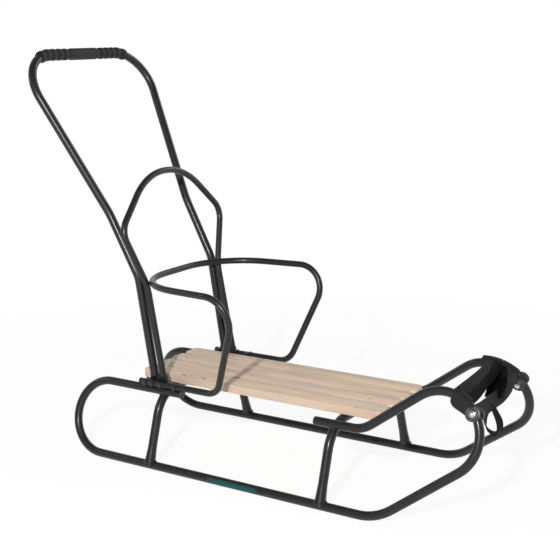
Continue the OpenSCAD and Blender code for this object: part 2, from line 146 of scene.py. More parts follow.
class Graph:
    """One material or world and the nodes that make it."""

    def __init__(self, name: str, world: bool = False) -> None:
        """Starts without nodes.

        Args:
            name: the material's or the world's name.
            world: whether it is a world.
        """
        self.owner = (bpy.data.worlds if world else bpy.data.materials).new(name)
        self.owner.use_nodes = True
        self.tree = self.owner.node_tree
        self.tree.nodes.clear()

    def node(
        self, kind: str, settings: Mapping[str, Any] | None = None,
        inputs: Mapping[Any, Feed] | None = None,
    ) -> bpy.types.Node:
        """Adds a node.

        Args:
            kind: the node's type.
            settings: its settings, set first.
            inputs: the value or link of each socket.

        Returns:
            The node.
        """
        made = self.tree.nodes.new(kind)
        for key, value in (settings or {}).items():
            setattr(made, key, value)
        for key, value in (inputs or {}).items():
            feed = value.socket if isinstance(value, Value) else value
            if isinstance(feed, bpy.types.NodeSocket):
                self.tree.links.new(feed, made.inputs[key])
            else:
                made.inputs[key].default_value = feed
        return made

    def place(self, space: str = "Object") -> tuple[Value, Value, Value]:
        """Reads the point of the surface.

        Args:
            space: the coordinates, such as Object or UV.

        Returns:
            Its x, y and z.
        """
        coords = self.node("ShaderNodeTexCoord")
        split = self.node("ShaderNodeSeparateXYZ", inputs={0: coords.outputs[space]})
        return tuple(Value(self, out) for out in split.outputs)

    def mark(self, name: str) -> Value:
        """A number that the mesh carries, such as a slat's own."""
        made = self.node("ShaderNodeAttribute", {"attribute_name": name})
        return Value(self, made.outputs["Fac"])

    def rays(self, *kinds: str) -> Value:
        """Tells some kinds of ray from the others.

        Args:
            kinds: the kinds, such as Glossy.

        Returns:
            1 for a ray of one of the kinds, or else 0.
        """
        path = self.node("ShaderNodeLightPath")
        first, *others = (Value(self, path.outputs[f"Is {kind} Ray"]) for kind in kinds)
        for other in others:
            first = first.math("MAXIMUM", first, other)
        return first

    def point(self, x: Number, y: Number, z: Number) -> bpy.types.NodeSocket:
        """Joins three numbers to a vector."""
        return self.node("ShaderNodeCombineXYZ", inputs={0: x, 1: y, 2: z}).outputs[0]

    def noise(
        self, at: bpy.types.NodeSocket, scale: float, detail: float = 3.0, rough: float = 0.55,
    ) -> Value:
        """Adds a noise pattern.

        Args:
            at: the vector that it reads.
            scale: how fine it is, per metre.
            detail: its number of octaves.
            rough: the weight of the finer octaves.

        Returns:
            A number round 0.5.
        """
        made = self.node(
            "ShaderNodeTexNoise", {"noise_dimensions": "3D"},
            {"Vector": at, "Scale": scale, "Detail": detail, "Roughness": rough})
        return Value(self, made.outputs["Fac"])

    def grains(self, at: bpy.types.NodeSocket, scale: float) -> Value:
        """The distance to the nearest of many scattered points."""
        made = self.node("ShaderNodeTexVoronoi", {"feature": "F1"}, {"Vector": at, "Scale": scale})
        return Value(self, made.outputs["Distance"])

    def tint(self, share: Number, low: Feed, high: Feed) -> bpy.types.NodeSocket:
        """Mixes two colours.

        Args:
            share: how much of the second there is, from 0 to 1.
            low: the first colour.
            high: the second.

        Returns:
            The mixed colour.
        """
        made = self.node(
            "ShaderNodeMix", {"data_type": "RGBA"}, {0: share, 6: solid(low), 7: solid(high)})
        return made.outputs[2]

    def relief(self, height: Value, depth: float, strength: float) -> bpy.types.NodeSocket:
        """Turns a height into a normal.

        Args:
            height: the pattern.
            depth: what its full height is, in metres.
            strength: how much of it shows.

        Returns:
            The normal.
        """
        made = self.node(
            "ShaderNodeBump", inputs={"Height": height, "Distance": depth, "Strength": strength})
        return made.outputs["Normal"]

    def surface(self, **sockets: Feed) -> bpy.types.Material:
        """Ends the material in one surface shader.

        Args:
            sockets: the shader's inputs, with _ for a space.

        Returns:
            The material.
        """
        named = {key.replace("_", " "): solid(value) for key, value in sockets.items()}
        shader = self.node("ShaderNodeBsdfPrincipled", inputs=named)
        self.node("ShaderNodeOutputMaterial", inputs={"Surface": shader.outputs[0]})
        return self.owner


class Finish(Protocol):
    """What a piece is painted with or made of."""

    def material(self) -> bpy.types.Material:
        """Builds the finish."""


@dataclass(frozen=True)
class GlossPaint:
    """Black powder coat with a slight peel, scuffed under the runners."""

    name: str = "gloss_black_paint"
    colour: Colour = (0.006, 0.006, 0.0066)
    dusty: Colour = (0.02, 0.02, 0.021)
    worn: Colour = (0.045, 0.045, 0.046)
    rough: float = 0.47
    coat: float = 0.5
    film: tuple[float, float] | None = None
    film_colour: Colour = (0.0004, 0.058, 0.054)
    film_streak: Colour = (0.0004, 0.044, 0.062)

    def material(self) -> bpy.types.Material:
        """Builds the finish.

        Returns:
            The material.
        """
        g = Graph(self.name)
        x, y, z = g.place()
        here = g.point(x, y, z)
        cloud = g.noise(here, 38.0, 4.0)
        peel = g.noise(here, 720.0, 2.0)
        grit = g.noise(here, 2600.0, 1.0)
        rub = g.noise(g.point(x * 40.0, y * 420.0, z * 420.0), 1.0, 4.0)
        scuff = z.step(0.0042, 0.0004) * rub.step(0.42, 0.62)
        colour = g.tint(cloud.step(0.52, 0.8) * 0.25, self.colour, self.dusty)
        coat: Number = self.coat
        if self.film:
            # a strip of film clings to the lower part of the runner and frays at its ends
            low, high = self.film
            frayed = x + (g.noise(here, 160.0, 3.0) - 0.5) * 0.012
            along = frayed.step(low, low + 0.034) * frayed.step(high, high - 0.005)
            streak = g.noise(g.point(x * 60.0, y * 300.0, z * 300.0), 1.0, 3.0)
            mask = along * (z + (streak - 0.5) * 0.006).step(0.0168, 0.0122)
            shade = g.tint(streak.step(0.35, 0.7), self.film_colour, self.film_streak)
            colour = g.tint(mask * 0.97, colour, shade)
            coat = self.coat - mask * (self.coat * 0.9)
        colour = g.tint(scuff * 0.6, colour, self.worn)
        rough = self.rough + (cloud - 0.5) * 0.16 + scuff * 0.3
        height = peel * 0.75 + grit * 0.2 + cloud * 0.05
        return g.surface(
            Base_Color=colour, Roughness=rough, Normal=g.relief(height, 0.0003, 0.1),
            Specular_IOR_Level=0.27, Coat_Weight=coat, Coat_Roughness=0.24, Coat_IOR=1.4,
        )


@dataclass(frozen=True)
class Knot:
    """A knot or a streak of resin in the seat."""

    x: float
    y: float
    half_len: float
    half_wide: float
    dark: float


@dataclass(frozen=True)
class PineBoard:
    """Planed pine whose growth rings run through the board."""

    name: str
    pale: Colour
    late: Colour
    along_y: bool = False
    ring: float = 0.0042
    knots: tuple[Knot, ...] = ()
    streaks: tuple[tuple[float, Colour, float], ...] = ()
    rough: float = 0.52
    heart_z: float = 0.128
    half_wide: float = 0.0235
    ruddy: Colour = (0.56, 0.42, 0.36)
    pored: Colour = (0.36, 0.235, 0.15)
    painted_side_shade: Colour = (0.42, 0.315, 0.235)
    knotty: Colour = (0.16, 0.085, 0.045)

    def material(self) -> bpy.types.Material:
        """Builds the finish.

        Returns:
            The material.
        """
        g = Graph(self.name)
        x, y, z = g.place()
        if self.along_y:
            x, y = y, x
        own = g.mark("board")
        # the log's heart runs under the board, a little askew and wavy
        sway = g.noise(g.point(x * 2.2, own * 7.3, own * 3.1), 1.0, 2.0) - 0.5
        fine = g.noise(g.point(x * 9.0, y * 60.0 + own * 5.0, z * 60.0), 1.0, 3.0) - 0.5
        lean = g.noise(g.point(own * 3.7, own * 9.1, 0.4), 1.0, 0.0) - 0.5
        aside = y - g.mark("middle")
        off_y = aside + lean * 0.09 + sway * 0.02 + x * lean * 0.09
        off_z = z - self.heart_z + sway * 0.02
        pull: Number = 0.0
        spots: Number = 0.0
        for knot in self.knots:
            dx = (x - knot.x) / knot.half_len
            dy = (y - knot.y) / knot.half_wide
            far = (dx * dx + dy * dy) ** 0.5
            spots = spots + (far - 0.88).size().step(0.2, 0.03) * knot.dark
            spots = spots + far.step(0.9, 0.3) * knot.dark * 0.22
            pull = pull + far.step(3.2, 0.6) * knot.half_wide * 0.9
        reach = (off_y * off_y + off_z * off_z) ** 0.5 + fine * 0.0022 + pull
        turn = reach / self.ring
        ring = turn.math("FRACT", turn)
        late = ring.step(0.35, 0.93) * ring.step(1.0, 0.94)
        fibre = g.noise(g.point(x * 22.0, y * 1100.0 + own * 31.0, z * 1100.0), 1.0, 4.0, 0.7)
        pore = g.noise(g.point(x * 75.0, y * 2400.0, z * 2400.0 + own * 11.0), 1.0, 2.0)
        broad = g.noise(g.point(x * 3.0, y * 42.0 + own * 17.0, z * 20.0), 1.0, 3.0)
        tone = late * 0.42 + (fibre - 0.5) * 0.75 + (broad - 0.5) * 0.6 + 0.22
        colour = g.tint(tone.step(-0.15, 1.05), self.pale, self.late)
        hue = g.noise(g.point(own * 5.3, 2.2, own * 1.7), 1.0, 0.0)
        colour = g.tint(hue.step(0.25, 0.75) * 0.2, colour, self.ruddy)
        for seed, stain, share in self.streaks:
            strip = g.noise(g.point(x * 5.0 + seed, y * 85.0 + own * seed, z * 30.0), 1.0, 2.0)
            colour = g.tint(strip.step(0.47, 0.62) * share, colour, stain)
        colour = g.tint(pore.step(0.63, 0.78) * 0.25, colour, self.pored)
        # the board's side faces are painted darker: painted shade
        edge = aside.size().step(self.half_wide - 0.0011, self.half_wide - 0.0002)
        colour = g.tint(edge * 0.55, colour, self.painted_side_shade)
        if self.knots:
            dark = (spots * (0.3 + fibre * 1.4)).step(0.0, 1.0)
            colour = g.tint(dark, colour, self.knotty)
        height = fibre * 0.55 + late * 0.25 + pore * 0.3
        return g.surface(
            Base_Color=colour, Roughness=self.rough + (fibre - 0.5) * 0.3 - late * 0.08,
            Normal=g.relief(height, 0.00022, 0.6), Specular_IOR_Level=0.35,
        )


@dataclass(frozen=True)
class GripRubber:
    """Matt black rubber with a fine pebbled skin, with painted shade in the grooves between the
    ribs.
    """

    name: str = "grip_rubber"
    colour: Colour = (0.02, 0.02, 0.021)
    dusty: Colour = (0.028, 0.028, 0.029)
    painted_groove_shade: Colour = (0.004, 0.004, 0.0042)

    def material(self) -> bpy.types.Material:
        """Builds the finish.

        Returns:
            The material.
        """
        g = Graph(self.name)
        x, y, z = g.place()
        here = g.point(x, y, z)
        pebble = g.grains(here, 950.0)
        cloud = g.noise(here, 60.0, 3.0)
        colour = g.tint(cloud.step(0.4, 0.75) * 0.6, self.colour, self.dusty)
        far = y.size()
        crest = ((far - FIRST_RIB * MM) * (TAU / (RIB_PITCH * MM)) + math.pi / 2).wave()
        # the grooves between the ribs are painted darker: painted shade
        groove_shade = crest.step(0.3, -0.6) * far.step(0.044, 0.048)
        colour = g.tint(groove_shade * 0.85, colour, self.painted_groove_shade)
        return g.surface(
            Base_Color=colour, Roughness=0.64 + (cloud - 0.5) * 0.2,
            Normal=g.relief(pebble, 0.0004, 0.25), Specular_IOR_Level=0.26,
        )


@dataclass(frozen=True)
class MouldedPlastic:
    """Black moulded plastic with a spark-eroded skin."""

    name: str
    colour: Colour = (0.016, 0.016, 0.017)
    rough: float = 0.42
    mottle: float = 1.8

    def material(self) -> bpy.types.Material:
        """Builds the finish.

        Returns:
            The material.
        """
        g = Graph(self.name)
        x, y, z = g.place()
        here = g.point(x, y, z)
        grain = g.noise(here, 1800.0, 2.0)
        cloud = g.noise(here, 140.0, 3.0)
        fleck = g.noise(here, 330.0, 1.0)
        pale = tuple(c * self.mottle for c in self.colour)
        colour = g.tint(fleck.step(0.42, 0.62), self.colour, pale)
        return g.surface(
            Base_Color=colour, Roughness=self.rough + (cloud - 0.5) * 0.2,
            Normal=g.relief(grain, 0.00018, 0.6), Specular_IOR_Level=0.5,
        )


@dataclass(frozen=True)
class PlatedSteel:
    """Plated or blackened steel of a bolt."""

    name: str
    colour: Colour
    tinge: Colour
    metallic: float = 1.0
    rough: float = 0.24

    def material(self) -> bpy.types.Material:
        """Builds the finish.

        Returns:
            The material.
        """
        g = Graph(self.name)
        x, y, z = g.place()
        here = g.point(x, y, z)
        cloud = g.noise(here, 420.0, 3.0)
        scratch = g.noise(g.point(x * 5000.0, y * 700.0, z * 900.0), 1.0, 2.0)
        colour = g.tint(cloud.step(0.35, 0.7), self.colour, self.tinge)
        return g.surface(
            Base_Color=colour, Metallic=self.metallic,
            Roughness=self.rough + (cloud - 0.5) * 0.2 + (scratch - 0.5) * 0.12,
            Normal=g.relief(scratch, 0.00006, 0.5),
        )


@dataclass(frozen=True)
class Webbing:
    """Black woven webbing with ribs across and a selvedge, both with a painted sheen."""

    name: str = "black_webbing"
    colour: Colour = (0.006, 0.006, 0.0066)
    painted_sheen: Colour = (0.021, 0.021, 0.0222)
    shine: float = 0.16
    width: float = 0.034
    thread: float = 0.0022
    rib: float = 0.0016

    def material(self) -> bpy.types.Material:
        """Builds the finish.

        Returns:
            The material.
        """
        g = Graph(self.name)
        across, along, _ = g.place("UV")
        half = self.width / 2
        warp = (across * (TAU / self.thread)).wave()
        weft = (along * (TAU / self.rib) + warp * 1.2).wave()
        weave = weft * 0.32 + warp * 0.18 + 0.5
        edge = (across - half).size().step(half - 0.0032, half - 0.0012)
        lint = g.noise(g.point(across * 900.0, along * 900.0, 0.3), 1.0, 3.0)
        # the raised threads and the selvedge are painted lighter: a painted sheen, mottled with
        # lint
        colour = g.tint(weave.step(0.25, 0.95) * (0.55 + lint * 0.5), self.colour, self.painted_sheen)
        colour = g.tint(edge * 0.4, colour, self.painted_sheen)
        height = weave * 0.8 + edge * 0.5 + (lint - 0.5) * 0.3
        return g.surface(
            Base_Color=colour, Roughness=0.62 + (lint - 0.5) * 0.3 - weave * 0.08,
            Normal=g.relief(height, 0.0005, 0.7), Specular_IOR_Level=self.shine,
        )


# Modelling


class Pick(Enum):
    """What a selection is made of."""

    VERT = "verts"
    EDGE = "edges"
    FACE = "faces"


class Bench:
    """Blender's modelling tools, used on one piece at a time."""

    @staticmethod
    def clear() -> None:
        """Leaves edit mode and deselects everything."""
        if bpy.context.object and bpy.context.object.mode != "OBJECT":
            bpy.ops.object.mode_set(mode="OBJECT")
        bpy.ops.object.select_all(action="DESELECT")

    @staticmethod
    def only(piece: bpy.types.Object) -> None:
        """Selects one piece and makes it the active one.

        Args:
            piece: the piece.
        """
        Bench.clear()
        piece.select_set(True)
        bpy.context.view_layer.objects.active = piece

    @staticmethod
    def edit() -> None:
        """Enters edit mode on the active piece."""
        bpy.ops.object.mode_set(mode="EDIT")

    @staticmethod
    def start(primitive: Callable[..., Any], **sizes: Any) -> bpy.types.Object:
        """Adds a primitive and opens it in edit mode.

        Args:
            primitive: the operator that adds it.
            sizes: the operator's settings.

        Returns:
            The new piece, with its place in its mesh.
        """
        Bench.clear()
        primitive(**sizes)
        piece = Bench.settle(bpy.context.object)
        Bench.edit()
        return piece

    @staticmethod
    def bevel(offset: float, segments: int) -> None:
        """Bevels the selected edges."""
        bpy.ops.mesh.bevel(offset=offset, segments=segments, affect="EDGES")

    @staticmethod
    def insets(*steps: tuple[float, float]) -> None:
        """Insets the selected faces step by step, each by a width and a depth."""
        for width, depth in steps:
            bpy.ops.mesh.inset(thickness=width, depth=depth)

    @staticmethod
    def pick(kind: Pick, test: Callable[[Any], bool]) -> None:
        """Selects parts of the edited mesh.

        Args:
            kind: vertices, edges or faces.
            test: says which of them.
        """
        bpy.ops.mesh.select_mode(type=kind.name)
        bpy.ops.mesh.select_all(action="DESELECT")
        data = bpy.context.object.data
        mesh = bmesh.from_edit_mesh(data)
        mesh.normal_update()
        for part in getattr(mesh, kind.value):
            if test(part):
                part.select_set(True)
        mesh.select_flush_mode()
        bmesh.update_edit_mesh(data)

    @staticmethod
    def apply(piece: bpy.types.Object, kind: str, **settings: Any) -> None:
        """Adds a modifier and applies it.

        Args:
            piece: the piece.
            kind: the modifier's type.
            settings: its settings.
        """
        Bench.only(piece)
        made = piece.modifiers.new(kind.lower(), kind)
        for key, value in settings.items():
            setattr(made, key, value)
        bpy.ops.object.modifier_apply(modifier=made.name)

    @staticmethod
    def settle(piece: bpy.types.Object) -> bpy.types.Object:
        """Moves a piece's place into its mesh.

        Args:
            piece: the piece.

        Returns:
            The same piece, now at the origin.
        """
        Bench.only(piece)
        bpy.ops.object.transform_apply(location=True, rotation=True, scale=True)
        return piece

    @staticmethod
    def copies(master: bpy.types.Object, places: Iterable[Matrix]) -> list[bpy.types.Object]:
        """Copies a master to several places and removes it.

        Args:
            master: the piece, modelled at the origin.
            places: where each copy goes.

        Returns:
            The copies, each with its own mesh.
        """
        made = []
        for place in places:
            copy = master.copy()
            copy.data = master.data.copy()
            copy.data.transform(place)
            if place.determinant() < 0:
                copy.data.flip_normals()
            bpy.context.scene.collection.objects.link(copy)
            made.append(copy)
        bpy.data.objects.remove(master)
        return made

    @staticmethod
    def join(parts: Sequence[bpy.types.Object]) -> bpy.types.Object:
        """Joins parts to one piece.

        Args:
            parts: what is joined, the first of which takes in the rest.

        Returns:
            The piece.
        """
        Bench.clear()
        for part in parts:
            part.select_set(True)
        bpy.context.view_layer.objects.active = parts[0]
        if len(parts) > 1:
            bpy.ops.object.join()
        return parts[0]

    @staticmethod
    def dress(
        piece: bpy.types.Object, name: str, material: bpy.types.Material, slot: str,
        replaces: Sequence[str] = (), angle: float = 40.0,
    ) -> bpy.types.Object:
        """Names, smooths, paints and mounts a finished piece.

        Args:
            piece: the piece.
            name: its name.
            material: its finish.
            slot: the record's material slot; not used.
            replaces: the solids that it stands for.
            angle: the edge angle, in degrees, up to which it is shaded smooth.

        Returns:
            The piece.
        """
        Bench.settle(piece)
        bpy.ops.object.shade_smooth_by_angle(angle=math.radians(angle))
        piece.name = name
        piece.data.name = name
        piece.data.materials.clear()
        piece.data.materials.append(material)
        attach(piece, BODY)
        if replaces:
            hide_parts(*replaces)
        LOG.info("%s: %d faces", name, len(piece.data.polygons))
        return piece

    @staticmethod
    def repaint(node: str, material: bpy.types.Material) -> None:
        """Gives a solid a better finish.

        Args:
            node: the solid's name.
            material: the finish.
        """
        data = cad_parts[node].data
        data.materials.clear()
        data.materials.append(material)
        LOG.info("%s: repainted", node)


def facing(origin: Point, axis: Point, up: Point = (0.0, 0.0, 1.0)) -> Matrix:
    """Turns a master's Z to an axis and moves it.

    Args:
        origin: where the master's origin goes.
        axis: where its Z points.
        up: a direction to square the other axes to.

    Returns:
        The matrix.
    """
    z = Vector(axis).normalized()
    x = Vector(up).cross(z)
    if x.length < 1e-6:
        x = Vector((1.0, 0.0, 0.0)).cross(z)
    x.normalize()
    y = z.cross(x)
    turn = Matrix((x, y, z)).transposed().to_4x4()
    turn.translation = Vector(origin)
    return turn


def made_of(finish: Finish) -> Any:
    """A field that holds a finish's material, built when its owner is."""
    return field(default_factory=finish.material)


SEAT_STREAKS = (
    (3.1, (0.72, 0.465, 0.375), 0.8),
    (7.7, (0.535, 0.485, 0.35), 0.75),
    (12.9, (0.69, 0.515, 0.345), 0.65),
    (21.3, (0.47, 0.375, 0.31), 0.7),
)


@dataclass
class Finishes:
    """Every finish of the sled, made once."""

    paint: bpy.types.Material = made_of(GlossPaint())
    runner_paint: bpy.types.Material = made_of(
        GlossPaint("gloss_black_paint_with_film", film=(-0.07, 0.068)))
    seat: bpy.types.Material = made_of(PineBoard(
        "planed_pine", (0.705, 0.545, 0.395), (0.43, 0.285, 0.18), streaks=SEAT_STREAKS,
        knots=(Knot(-0.158, -0.089, 0.034, 0.0078, 0.8),)))
    batten: bpy.types.Material = made_of(PineBoard(
        "sawn_pine", (0.62, 0.47, 0.35), (0.42, 0.28, 0.18), along_y=True, rough=0.65))
    rubber: bpy.types.Material = made_of(GripRubber())
    plug: bpy.types.Material = made_of(MouldedPlastic("plug_plastic"))
    washer: bpy.types.Material = made_of(
        MouldedPlastic("washer_plastic", rough=0.36, mottle=4.5))
    zinc: bpy.types.Material = made_of(
        PlatedSteel("bright_zinc", (0.78, 0.78, 0.8), (0.62, 0.63, 0.66)))
    black: bpy.types.Material = made_of(
        PlatedSteel("black_oxide", (0.012, 0.012, 0.013), (0.02, 0.02, 0.021), 0.0, 0.16))
    screw: bpy.types.Material = made_of(
        PlatedSteel("screw_steel", (0.42, 0.37, 0.31), (0.34, 0.3, 0.26), 0.3, 0.45))
    webbing: bpy.types.Material = made_of(Webbing())
    # darker and lighter copies of the webbing: painted shade on the band, its front part, the fold
    # and the loop, and painted light on the sling
    top_webbing_painted_shade: bpy.types.Material = made_of(Webbing(
        "black_webbing_top", (0.003, 0.003, 0.0033), (0.0105, 0.0105, 0.0112), 0.1))
    sling_webbing_painted_light: bpy.types.Material = made_of(Webbing(
        "black_webbing_sling", (0.013, 0.013, 0.014), (0.042, 0.042, 0.044)))
    webbing_painted_shade: bpy.types.Material = made_of(Webbing(
        "black_webbing_back", (0.0012, 0.0012, 0.0013), (0.0045, 0.0045, 0.0048), 0.05))


# Sub-assemblies


@dataclass
class Beads:
    """Weld beads where the tubes meet."""

    finishes: Finishes
    thick: float = 0.0019
    ripple: float = 0.2
    ripple_turn: float = 2.1
    foot_r: float = 11.9
    foot_out: float = 4.0
    foot_rim: float = 0.8
    foot_lift: float = 0.4
    foot_steps: int = 72
    leg_way: Point = (0.0, -50.0, 151.67)
    top_y: float = 135.56
    top_z: float = 161.17
    shoulder_way: Point = (0.0, 0.42, 0.907)
    saddle_half: float = 7.6
    saddle_lift: float = 0.3
    saddle_steps: int = 48
    arch_x: tuple[float, float] = (142.0, 564.0)
    lug_y: float = 129.6
    lug_z: float = 168.2
    lug_half: float = 5.4
    lug_share: float = 0.8

    def bead(self, points: Sequence[Vector], closed: bool, thick: float) -> bpy.types.Object:
        """Lays a rippled bead along a line.

        Args:
            points: the line.
            closed: whether its ends meet.
            thick: the bead's radius.

        Returns:
            The bead.
        """
        curve = bpy.data.curves.new("bead", "CURVE")
        curve.dimensions = "3D"
        spline = curve.splines.new("POLY")
        spline.points.add(len(points) - 1)
        spline.use_cyclic_u = closed
        for index, (spot, point) in enumerate(zip(spline.points, points)):
            spot.co = (*point, 1.0)
            spot.radius = 1.0 + self.ripple * math.sin(index * self.ripple_turn)
        curve.bevel_depth = thick
        curve.bevel_resolution = 3
        curve.use_fill_caps = not closed
        piece = bpy.data.objects.new("bead", curve)
        bpy.context.scene.collection.objects.link(piece)
        Bench.only(piece)
        bpy.ops.object.convert(target="MESH")
        return piece

    def ring(
        self, base: Vector, up: Vector, radius: float, side: int, steps: int,
        rise: Callable[[float], float],
    ) -> bpy.types.Object:
        """Lays a bead round where one tube stands on another.

        Args:
            base: the middle of the other tube there, on the left, in millimetres.
            up: the direction in which the tube stands.
            radius: the ring's radius.
            side: 1 on the left, -1 on the right.
            steps: the number of points round the ring.
            rise: how far up from the base the ring is, at a distance across.

        Returns:
            The bead.
        """
        across = Vector((0.0, up.z, -up.y))
        points = []
        for i in range(steps):
            turn = TAU * i / steps
            wide = radius * math.sin(turn)
            spot = base + up * rise(wide) + across * wide
            points.append(ahead(spot.x + radius * math.cos(turn), side * spot.y, spot.z))
        return self.bead(points, True, self.thick)

    def foot(self, x: float, side: int) -> bpy.types.Object:
        """Lays the bead round an arch's foot on the runner.

        Args:
            x: its place ahead of the rear loops, in millimetres.
            side: 1 on the left, -1 on the right.

        Returns:
            The bead.
        """
        lean = Vector(self.leg_way).normalized()
        lift = self.foot_lift - self.foot_out * lean.y

        def rise(wide: float) -> float:
            """The height of the runner's top under the foot."""
            off = min(wide + self.foot_out * lean.z, TUBE_R - self.foot_rim)
            return math.sqrt(max(0.0, TUBE_R ** 2 - off ** 2)) + lift

        base = Vector((x, RUNNER_Y + self.foot_out, TUBE_R))
        return self.ring(base, lean, self.foot_r, side, self.foot_steps, rise)

    def saddle(self, x: float, side: int) -> bpy.types.Object:
        """Lays the bead between an arch's shoulder and the upper tube.

        Args:
            x: its place ahead of the rear loops, in millimetres.
            side: 1 on the left, -1 on the right.

        Returns:
            The bead.
        """
        base, out = Vector((x, self.top_y, self.top_z)), Vector(self.shoulder_way)
        return self.ring(
            base, out, self.saddle_half, side, self.saddle_steps,
            lambda wide: -math.sqrt(TUBE_R ** 2 - wide ** 2) - self.saddle_lift)

    def lug(self, x: float, side: int) -> bpy.types.Object:
        """Lays the bead along the foot of one of the guard's lugs.

        Args:
            x: its place ahead of the rear loops, in millimetres.
            side: 1 on the left, -1 on the right.

        Returns:
            The bead.
        """
        steps = [self.lug_half * (i / 9 - 1) for i in range(19)]
        points = [ahead(x + step, side * self.lug_y, self.lug_z) for step in steps]
        return self.bead(points, False, self.thick * self.lug_share)

    def build(self) -> None:
        """Lays every bead and paints them like the tubes."""
        for name, lay, places in (
            ("arch_foot_welds", self.foot, self.arch_x),
            ("arch_shoulder_welds", self.saddle, self.arch_x),
            ("lug_welds", self.lug, LUG_X),
        ):
            welds = Bench.join([lay(x, side) for x in places for side in SIDES])
            Bench.dress(welds, name, self.finishes.paint, "frame_paint", angle=80.0)


@dataclass
class Seat:
    """The slats, the battens below them and their screws."""

    finishes: Finishes
    rear: float = 59.0
    length: float = 590.0
    wide: float = 47.0
    gap: float = 3.4
    count: int = 4
    bottom: float = 170.17
    thick: float = 18.0
    end_r: float = 12.0
    edge_r: float = 1.0
    batten_rear: tuple[float, float] = (83.0, 583.5)
    batten_wide: float = 36.0
    batten_half: float = 75.1
    batten_thick: float = 8.0
    batten_edge: float = 1.2
    screw_r: float = 3.5
    screw_ahead: float = 11.0
    screw_drift: float = 3.0
    screw_stray: tuple[float, ...] = (-16.0, -8.0, -1.0, 4.0)
    slat_grain: tuple[float, float] = (1.0, 1.37)
    batten_grain: tuple[float, float] = (7.7, 2.3)

    def middle(self, index: int) -> float:
        """The middle of a slat, to the left."""
        return (index - (self.count - 1) / 2) * (self.wide + self.gap)

    @staticmethod
    def mark(
        piece: bpy.types.Object, index: int, grain: tuple[float, float], middle: float,
    ) -> None:
        """Writes a board's own numbers on its mesh.

        Args:
            piece: the board.
            index: its place among its like.
            grain: the number that sets the first board's grain apart, and the step to the next.
            middle: its middle line, in metres.
        """
        first, step = grain
        for name, value in (("board", first + index * step), ("middle", middle)):
            layer = piece.data.attributes.new(name, "FLOAT", "POINT")
            layer.data.foreach_set("value", [value] * len(piece.data.vertices))

    @staticmethod
    def block(long: float, wide: float, thick: float) -> bpy.types.Object:
        """Opens a plain block about the origin in edit mode, its sizes in millimetres."""
        size = (long * MM, wide * MM, thick * MM)
        return Bench.start(bpy.ops.mesh.primitive_cube_add, size=1.0, scale=size)

    def slat(self) -> bpy.types.Object:
        """Planes one slat, with rounded ends and eased edges.

        Returns:
            The slat, about the origin.
        """
        piece = self.block(self.length, self.wide, self.thick)
        Bench.pick(Pick.EDGE, lambda e: abs(e.verts[0].co.z - e.verts[1].co.z) > 0.01)
        Bench.bevel(self.end_r * MM, 8)
        Bench.pick(Pick.EDGE, lambda e: len(e.link_faces) == 2
                   and abs(abs(e.link_faces[0].normal.z) - abs(e.link_faces[1].normal.z)) > 0.5)
        Bench.bevel(self.edge_r * MM, 3)
        Bench.clear()
        return piece

    def batten(self) -> bpy.types.Object:
        """Saws one batten.

        Returns:
            The batten, about the origin.
        """
        piece = self.block(self.batten_wide, 2 * self.batten_half, self.batten_thick)
        Bench.pick(Pick.EDGE, lambda e: True)
        Bench.bevel(self.batten_edge * MM, 2)
        Bench.clear()
        return piece

    def screw(self) -> bpy.types.Object:
        """Models a countersunk screw's head with a recess.

        Returns:
            The head, facing up.
        """
        piece = Bench.start(
            bpy.ops.mesh.primitive_cylinder_add, vertices=24, radius=self.screw_r * MM,
            depth=0.0012, location=(0, 0, -0.0001))
        Bench.pick(Pick.FACE, lambda f: f.normal.z > 0.9)
        Bench.insets((0.0005, 0.00015), (0.0011, 0.0001), (0.0003, -0.0009))
        Bench.clear()
        return piece

    def build(self) -> None:
        """Makes the seat and dresses it."""
        middles = [self.middle(index) for index in range(self.count)]
        length_mid, height_mid = self.rear + self.length / 2, self.bottom + self.thick / 2
        spots = [ahead(length_mid, y, height_mid) for y in middles]
        for index, slat in enumerate(Bench.copies(self.slat(), map(Matrix.Translation, spots))):
            self.mark(slat, index, self.slat_grain, spots[index].y)
            Bench.dress(
                slat, f"seat_slat_{index + 1}", self.finishes.seat, "seat_wood", ["seat_slats"])
        height_mid = self.bottom - self.batten_thick / 2
        spots = [ahead(rear + self.batten_wide / 2, 0.0, height_mid) for rear in self.batten_rear]
        for index, batten in enumerate(Bench.copies(self.batten(), map(Matrix.Translation, spots))):
            self.mark(batten, index, self.batten_grain, spots[index].x)
            Bench.dress(batten, f"seat_batten_{index + 1}", self.finishes.batten,
                        "batten_wood", ["seat_battens"])
        spots = [
            ahead(rear + self.screw_ahead - index * self.screw_drift,
                  middles[index] + self.screw_stray[index], self.bottom + self.thick)
            for rear in self.batten_rear for index in range(self.count)]
        screws = Bench.join(Bench.copies(self.screw(), map(Matrix.Translation, spots)))
        Bench.dress(screws, "seat_screws", self.finishes.screw, "bolt_zinc")


